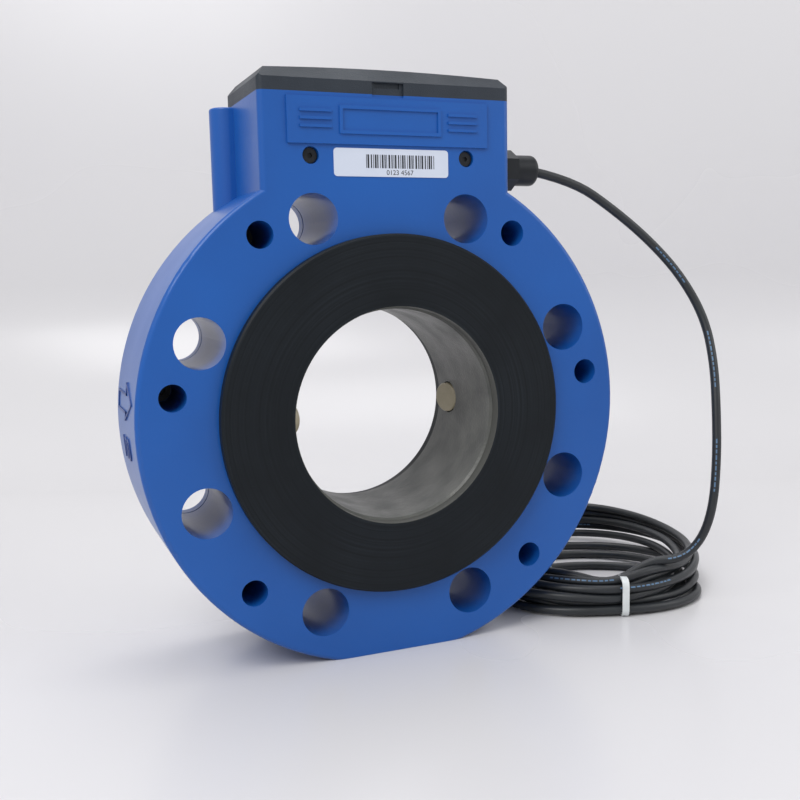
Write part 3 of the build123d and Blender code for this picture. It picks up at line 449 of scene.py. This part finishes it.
def noise_in(group, where, scale, detail):
    """A noise inside a group, stretched so that it fills 0 to 1."""
    noise = group_node(group, "ShaderNodeTexNoise")
    noise.inputs["Detail"].default_value = detail
    group.links.new(where, noise.inputs["Vector"])
    if isinstance(scale, (int, float)):
        noise.inputs["Scale"].default_value = scale
    else:
        group.links.new(scale, noise.inputs["Scale"])
    span = group_node(group, "ShaderNodeMapRange")
    span.inputs["From Min"].default_value = 0.3
    span.inputs["From Max"].default_value = 0.7
    group.links.new(noise.outputs["Fac"], span.inputs["Value"])
    return span.outputs["Result"]


uneven = new_group("Uneven finish", [("Cloud scale", 20), ("Grain scale", 900)], ["Cloud", "Grain"])
uneven_in = group_node(uneven, "NodeGroupInput")
uneven_out = group_node(uneven, "NodeGroupOutput")
uneven_where = group_node(uneven, "ShaderNodeTexCoord").outputs["Object"]
cloud = noise_in(uneven, uneven_where, uneven_in.outputs["Cloud scale"], 3)
grain = noise_in(uneven, uneven_where, uneven_in.outputs["Grain scale"], 2)
uneven.links.new(cloud, uneven_out.inputs["Cloud"])
uneven.links.new(grain, uneven_out.inputs["Grain"])
print("group ready:", uneven.name)

# %% [markdown]
# Turned faces carry fine rings about the pipe axis. The group reads the distance from that axis,
# runs a noise along it, and so gives rings of uneven strength, as a worn tool leaves them.

# %% Shader group: turned rings
rings = new_group("Turned rings", [("Rings per metre", 900)], ["Ring", "Radius"])
rings_in = group_node(rings, "NodeGroupInput")
rings_out = group_node(rings, "NodeGroupOutput")
rings_where = group_node(rings, "ShaderNodeTexCoord").outputs["Object"]
apart = group_node(rings, "ShaderNodeSeparateXYZ")
rings.links.new(rings_where, apart.inputs[0])
square_x = group_math(rings, "MULTIPLY", apart.outputs["X"], apart.outputs["X"])
square_z = group_math(rings, "MULTIPLY", apart.outputs["Z"], apart.outputs["Z"])
distance = group_math(rings, "SQRT", group_math(rings, "ADD", square_x, square_z), 0)
steps = group_math(rings, "MULTIPLY", distance, rings_in.outputs["Rings per metre"])
line_noise = group_node(rings, "ShaderNodeTexNoise", noise_dimensions="1D")
line_noise.inputs["Scale"].default_value = 1
line_noise.inputs["Detail"].default_value = 2
rings.links.new(steps, line_noise.inputs["W"])
ring_span = group_node(rings, "ShaderNodeMapRange")
ring_span.inputs["From Min"].default_value = 0.3
ring_span.inputs["From Max"].default_value = 0.7
rings.links.new(line_noise.outputs["Fac"], ring_span.inputs["Value"])
rings.links.new(ring_span.outputs["Result"], rings_out.inputs["Ring"])
rings.links.new(distance, rings_out.inputs["Radius"])
print("group ready:", rings.name)

# %% [markdown]
# Most nodes take one recipe: two close shades mixed by the cloud, a roughness that wanders with
# it, and the grain as a fine bump. Only the numbers differ, so they are kept in one table and
# read like a finish list in a workshop.

# %% The common recipe
def common_finish(name, light, dark, rough, cloud_scale, grain_scale, depth, **plain):
    """A finish from two shades, a wandering roughness and a fine grain."""
    material, shader = new_material(name, **plain)
    marks = place_group(material, uneven, Cloud_scale=cloud_scale, Grain_scale=grain_scale)
    shade = blend_colours(material, marks.outputs["Cloud"], light, dark)
    wire(material, shade, shader.inputs["Base Color"])
    polish = spread_values(material, marks.outputs["Cloud"], rough[0], rough[1])
    wire(material, polish, shader.inputs["Roughness"])
    raise_surface(material, shader, marks.outputs["Grain"], depth)
    return material


def dress(material, *names):
    """Gives a material to CAD nodes, in every slot that they have."""
    for name in names:
        slots = nodes[name].data.materials
        slots.clear()
        slots.append(material)


# %% Blue paint
blue_light = colour(20, 88, 170)
blue_dark = colour(16, 80, 158)
blue_paint = common_finish(
    "blue_enamel", blue_light, blue_dark, (0.32, 0.40), 14, 420, 0.00002, specular=0.35
)
shader_of(blue_paint).inputs["Coat Weight"].default_value = 0.2
shader_of(blue_paint).inputs["Coat Roughness"].default_value = 0.12
dress(blue_paint, "body_casting", "rear_cover")
print("painted:", blue_paint.name)

# %% Turned black faces
bore_skin_radius = 46.7 * MM


def turned_finish(name, light, dark, rough, ring_count, depth, lip=None):
    """A turned face: the rings change both shade and height, and the bore may have its own shade."""
    material, shader = new_material(name, roughness=rough, specular=0.2)
    marks = place_group(material, rings, Rings_per_metre=ring_count)
    clouds = place_group(material, uneven, Cloud_scale=30, Grain_scale=1500)
    both = material.node_tree.nodes.new("ShaderNodeMath")
    both.operation = "MULTIPLY"
    wire(material, marks.outputs["Ring"], both.inputs[0])
    wire(material, clouds.outputs["Cloud"], both.inputs[1])
    shade = blend_colours(material, both.outputs[0], dark, light)
    if lip:
        bore = material.node_tree.nodes.new("ShaderNodeMath")
        bore.operation = "LESS_THAN"
        bore.inputs[1].default_value = bore_skin_radius
        wire(material, marks.outputs["Radius"], bore.inputs[0])
        shade = blend_colours(material, bore.outputs[0], shade, lip)
    wire(material, shade, shader.inputs["Base Color"])
    polish = spread_values(material, clouds.outputs["Cloud"], rough - 0.05, rough + 0.08)
    wire(material, polish, shader.inputs["Roughness"])
    raise_surface(material, shader, marks.outputs["Ring"], depth)
    return material


turned_black = turned_finish(
    "turned_black_face", colour(28, 32, 37), colour(18, 22, 26), 0.45, 900, 0.00002
)
turned_front = turned_finish(
    "turned_front_face", colour(27, 33, 39), colour(15, 20, 25), 0.45, 900, 0.00002,
    lip=colour(78, 79, 76),
)
dress(turned_black, "inlet_ring")
dress(turned_front, "outlet_ring")
print("turned:", turned_black.name, turned_front.name)

# %% Grey tube
tube_grey = common_finish(
    "moulded_grey_tube", colour(90, 91, 87), colour(70, 72, 70), (0.36, 0.5), 70, 900, 0.00008
)
dress(tube_grey, "measuring_tube")

# %% Dark plastics
lid_grey = common_finish(
    "lid_grain", colour(44, 51, 60), colour(37, 44, 53), (0.42, 0.5), 60, 2200, 0.00006, specular=0.35
)
gland_black = common_finish(
    "gland_nylon", colour(24, 28, 34), colour(18, 22, 28), (0.34, 0.42), 80, 1800, 0.00002, specular=0.35
)
cable_black = common_finish(
    "cable_sheath", colour(38, 42, 46), colour(29, 32, 36), (0.34, 0.44), 60, 1600, 0.00002
)
seal_black = common_finish(
    "seal_rubber", colour(26, 26, 27), colour(20, 20, 21), (0.6, 0.7), 120, 2500, 0.00003
)
dress(lid_grey, "lid", "display_bezel", "board_carrier", "battery_cradle")
dress(gland_black, "gland_body", "gland_nut", "gland_locknut")
dress(cable_black, "cable_inside")
dress(seal_black, "cover_seal", "tube_seals", "transducer_seals", "bezel_seal", "lid_seal", "gland_seal")
cable.data.materials.append(cable_black)

# %% Light parts and metals
beige = common_finish(
    "sensor_face", colour(180, 170, 146), colour(168, 158, 134), (0.36, 0.44), 200, 2500, 0.00001
)
label_paper = common_finish(
    "label_paper", colour(208, 215, 230), colour(202, 210, 226), (0.42, 0.5), 60, 2500, 0.000005
)
tie_nylon = common_finish(
    "tie_nylon", colour(226, 230, 230), colour(208, 213, 214), (0.3, 0.38), 120, 1500, 0.00001
)
shader_of(tie_nylon).inputs["Subsurface Weight"].default_value = 0.2
shader_of(tie_nylon).inputs["Subsurface Radius"].default_value = (0.001, 0.001, 0.001)
steel = common_finish(
    "screw_steel", colour(150, 152, 155), colour(128, 130, 133), (0.28, 0.4), 200, 2400, 0.00001,
    metallic=1.0,
)
brass = common_finish(
    "turned_brass", colour(196, 164, 96), colour(180, 148, 82), (0.28, 0.36), 200, 2400, 0.00001,
    metallic=1.0,
)
dress(beige, "upstream_transducer", "downstream_transducer")
dress(label_paper, "number_label")
dress(tie_nylon, "cable_tie")
# The screws deep in their holes get a dark steel; the darkness is painted shade of those holes.
shaded_screw_steel = common_finish(
    "shaded_screw_steel", colour(44, 46, 50), colour(32, 34, 38), (0.36, 0.46), 200, 2400, 0.00001,
    metallic=0.6,
)
dress(steel, "board_screws", "bezel_screws", "hinge_pins")
dress(shaded_screw_steel, "housing_screws", "box_screws")
dress(brass, "transducer_nuts")

# %% Inside the housing
board_green = common_finish(
    "board_laminate", colour(34, 96, 62), colour(24, 78, 48), (0.34, 0.42), 400, 1800, 0.00001
)
terminal_green = common_finish(
    "terminal_green", colour(40, 130, 80), colour(34, 116, 70), (0.4, 0.48), 100, 1800, 0.00001
)
display_grey = common_finish(
    "display_glass", colour(150, 160, 140), colour(144, 154, 134), (0.12, 0.2), 60, 900, 0.000002
)
cell_sleeve = common_finish(
    "cell_sleeve", colour(70, 120, 62), colour(62, 108, 54), (0.26, 0.34), 60, 900, 0.00001
)
wire_red = common_finish(
    "core_insulation", colour(170, 50, 44), colour(156, 42, 38), (0.36, 0.44), 60, 900, 0.00001
)
dress(board_green, "circuit_board")
dress(terminal_green, "terminal_block")
dress(display_grey, "lcd_panel")
dress(cell_sleeve, "battery_cells")
dress(wire_red, "inside_cores", "tail_cores")
dress(seal_black, "upstream_lead", "downstream_lead")

# %% Window
window_clear, window_shader = new_material("clear_window", roughness=0.06)
window_shader.inputs["Base Color"].default_value = (0.96, 0.98, 0.98, 1)
window_shader.inputs["Transmission Weight"].default_value = 1.0
window_shader.inputs["IOR"].default_value = 1.49
dress(window_clear, "display_window")

# %% Paper of the sweep
paper = common_finish(
    "sweep_paper", colour(214, 213, 215), colour(209, 208, 211), (0.22, 0.3), 2, 60, 0.00001
)
sweep.data.materials.append(paper)

# %% [markdown]
# Small marks bring the meter to life: a printed label, a cast arrow and size number on the rim,
# figures on the display and a pale print on the cable. They are made of plain strokes, each a
# thin box on a flat workplane, and are joined into one piece per mark.

# %% Strokes on a workplane
def stroke(plane, start, end, width, thick):
    """One thin box from start to end on a workplane, in metres."""
    start = Vector(start)
    end = Vector(end)
    run = end - start
    middle = (start + end) / 2
    angle = Vector((1, 0)).angle_signed(run) if run.length else 0
    bpy.ops.mesh.primitive_cube_add(size=1)
    bar = bpy.context.object
    size = Matrix.Diagonal((run.length + width, width, thick, 1))
    place = Matrix.Translation((middle.x, middle.y, 0)) @ Matrix.Rotation(-angle, 4, "Z")
    bar.matrix_world = plane @ place @ size
    return bar


def join_pieces(name, pieces, material):
    """Joins strokes into one mesh with its place applied, and gives it a material."""
    nothing_selected()
    for piece in pieces:
        piece.select_set(True)
    bpy.context.view_layer.objects.active = pieces[0]
    bpy.ops.object.transform_apply(location=True, rotation=True, scale=True)
    bpy.ops.object.join()
    joined = bpy.context.object
    joined.name = name
    joined.data.materials.clear()
    joined.data.materials.append(material)
    return joined


figure_share = 0.7


def figures(plane, text, height, thick):
    """Raised figures on a workplane, made a mesh first and placed after."""
    nothing_selected()
    bpy.ops.object.text_add()
    words = bpy.context.object
    words.data.body = text
    words.data.size = height / figure_share
    words.data.extrude = thick / 2
    words.data.align_x = "CENTER"
    words.data.align_y = "CENTER"
    bpy.ops.object.convert(target="MESH")
    words = bpy.context.object
    words.matrix_world = plane
    return settle(words)


def workplane(middle, right, up):
    """A workplane from its middle and its two directions."""
    right = Vector(right).normalized()
    up = Vector(up).normalized()
    out = right.cross(up)
    turned = Matrix((right, up, out)).transposed().to_4x4()
    return Matrix.Translation(Vector(middle)) @ turned


# %% Label print
ink = common_finish(
    "label_ink", colour(34, 38, 48), colour(28, 32, 42), (0.4, 0.5), 200, 2500, 0.000002
)
label_skin = -0.27 * MM
print_thickness = 0.03 * MM
label_plane = workplane((0, label_skin, 0), (1, 0, 0), (0, 0, 1))
bar_low = 103.9 * MM
bar_high = 109.4 * MM
bar_left = -11.1
bar_right = 19.4
thinnest_bar = 0.28
bar_growth = 0.24
thinnest_gap = 0.3
gap_growth = 0.13
bars = []
bar_start = bar_left
bar_index = 0
while bar_start < bar_right:
    bar_width = thinnest_bar + bar_growth * (bar_index * 5 % 3)
    x_place = (bar_start + bar_width / 2) * MM
    half = bar_width * MM / 2
    bars.append(stroke(
        label_plane, (x_place, bar_low + half), (x_place, bar_high - half), 2 * half, print_thickness
    ))
    bar_start += bar_width + thinnest_gap + gap_growth * (bar_index * 7 % 4)
    bar_index += 1
label_bars = join_pieces("label_bars", bars, ink)
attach(label_bars, "root")
number_middle = (3.95 * MM, label_skin, 102.1 * MM)
number_height = 2.0 * MM
number_plane = workplane(number_middle, (1, 0, 0), (0, 0, 1))
label_number = figures(number_plane, "0123 4567", number_height, print_thickness)
label_number.name = "label_number"
label_number.data.materials.append(ink)
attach(label_number, "root")
print("bars on the label:", bar_index)

# %% Arrow and size number on the rim
rim_radius = 110 * MM


def rim_plane(along, degrees):
    """A workplane that touches the rim's left side; it reads from the back to the front."""
    angle = radians(degrees)
    middle = (-rim_radius * cos(angle), along, rim_radius * sin(angle))
    return workplane(middle, (0, -1, 0), (sin(angle), 0, cos(angle)))


arrow_corners = [
    (10.5, 5.5),
    (25.5, 9.2),
    (25.5, 6.9),
    (48.0, 6.9),
    (48.0, 3.0),
    (25.5, 3.0),
    (25.5, 1.6),
    (10.5, 5.5),
]
arrow_middle = 5.2
arrow_line_width = 1.0 * MM
arrow_line_thickness = 0.8 * MM
rim_number_place = 29 * MM
rim_number_angle = -5.2
rim_number_height = 9.5 * MM
rim_number_thickness = 0.9 * MM
arrow_plane = rim_plane(0, arrow_middle)
arrow_flat = []
for along, degrees in arrow_corners:
    arrow_flat.append((-along * MM, radians(degrees - arrow_middle) * rim_radius))
# The cast marks are the body's own paint; their darker blue is painted shade of the raised relief.
rim_shade_paint = common_finish(
    "rim_mark_painted_shade", colour(30, 66, 134), colour(26, 60, 124), (0.36, 0.46), 60, 600, 0.00002
)
arrow_strokes = []
for start, end in zip(arrow_flat, arrow_flat[1:]):
    arrow_strokes.append(stroke(arrow_plane, start, end, arrow_line_width, arrow_line_thickness))
rim_arrow = join_pieces("rim_arrow", arrow_strokes, rim_shade_paint)
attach(rim_arrow, "root")
rim_number_plane = rim_plane(rim_number_place, rim_number_angle)
rim_number = figures(rim_number_plane, "100", rim_number_height, rim_number_thickness)
rim_number.name = "rim_number"
rim_number.data.materials.append(rim_shade_paint)
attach(rim_number, "root")
print("rim marks made")

# %% Figures on the display
lcd_low, lcd_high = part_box("lcd_panel")
lcd_lift = 0.03 * MM
lcd_figure_height = 8 * MM
lcd_figure_thickness = 0.04 * MM
lcd_middle = (lcd_low + lcd_high) / 2
lcd_plane = workplane((lcd_middle.x, lcd_middle.y, lcd_high.z + lcd_lift), (1, 0, 0), (0, 1, 0))
lcd_figures = figures(lcd_plane, "000123.4", lcd_figure_height, lcd_figure_thickness)
lcd_figures.name = "lcd_figures"
lcd_figures.data.materials.append(ink)
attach(lcd_figures, "root")
print("display figures made")

# %% [markdown]
# The cable carries a pale blue print. Each short dash follows the cable's own middle line and
# lies on its skin, on the side that the camera sees.

# %% Print on the cable
print_blue = common_finish(
    "print_blue", colour(92, 124, 156), colour(74, 104, 136), (0.5, 0.6), 200, 2500, 0.000002
)
print_spots = [
    (0.075, 0.022),
    (0.125, 0.026),
    (0.178, 0.024),
    (0.228, 0.02),
    (0.31, 0.022),
    (0.372, 0.02),
    (0.655, 0.03),
    (0.70, 0.022),
    (1.02, 0.026),
    (1.09, 0.03),
    (1.43, 0.024),
    (1.62, 0.02),
    (1.84, 0.026),
    (2.23, 0.022),
    (2.62, 0.024),
    (2.95, 0.022),
]
dash_lengths = [1.4, 0.7, 1.1, 1.6, 0.6]
dash_pitch_over = 1.5 * MM
dash_width = 0.7 * MM
dash_thickness = 0.24 * MM
dash_sink = 0.03 * MM
view_point = camera_place + Vector((0, 0, 0.12))
line_places = [0.0]
for start, end in zip(cable_line, cable_line[1:]):
    line_places.append(line_places[-1] + (end - start).length)


def along_cable(place):
    """The middle line's point and direction at a length from the gland."""
    for index in range(len(line_places) - 1):
        if line_places[index + 1] >= place:
            start = cable_line[index]
            end = cable_line[index + 1]
            part = (place - line_places[index]) / (line_places[index + 1] - line_places[index])
            return start.lerp(end, part), (end - start).normalized()
    return cable_line[-1], (cable_line[-1] - cable_line[-2]).normalized()


dashes = []
for spot, reach in print_spots:
    place = spot
    dash_index = 0
    while place < spot + reach:
        length = dash_lengths[dash_index % len(dash_lengths)] * MM
        middle, run = along_cable(place + length / 2)
        view = (view_point - middle).normalized()
        out = (view - run * view.dot(run)).normalized()
        skin = middle + out * (cable_diameter / 2 - dash_sink)
        dash_plane = workplane(skin, run, out.cross(run))
        start = (-length / 2, 0)
        end = (length / 2, 0)
        dashes.append(stroke(dash_plane, start, end, dash_width, dash_thickness))
        place += length + dash_pitch_over
        dash_index += 1
cable_print = join_pieces("cable_print", dashes, print_blue)
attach(cable_print, "root")
print("dashes on the cable:", len(dashes))

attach(cable, "root")
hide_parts("cable_lead", "cable_coil", "cable_tail")

# %% [markdown]
# The light is that of a plain product table: one large soft lamp from the upper left, a weaker
# one from the right, and an even pale surround that fills the shadows.

# %% Light
def soft_lamp(name, place, target, size, power):
    """A square area lamp that looks at a point."""
    nothing_selected()
    bpy.ops.object.light_add(type="AREA", location=place)
    lamp = bpy.context.object
    lamp.name = name
    lamp.data.shape = "SQUARE"
    lamp.data.size = size
    lamp.data.energy = power
    look = Vector(target) - Vector(place)
    lamp.rotation_euler = look.to_track_quat("-Z", "Y").to_euler()
    return lamp


soft_lamp("key_lamp", (-0.7, -0.5, 0.9), (0, 0, 0), 0.7, 9)
soft_lamp("fill_lamp", (0.9, -0.6, 0.6), (0, 0, 0), 0.8, 3)
soft_lamp("top_lamp", (0.1, 0.2, 1.1), (0, 0, 0), 0.8, 5)
world = bpy.data.worlds.new("pale_surround")
bpy.context.scene.world = world
world.use_nodes = True
world.node_tree.nodes["Background"].inputs["Color"].default_value = (1, 1, 1, 1)
world.node_tree.nodes["Background"].inputs["Strength"].default_value = 0.6
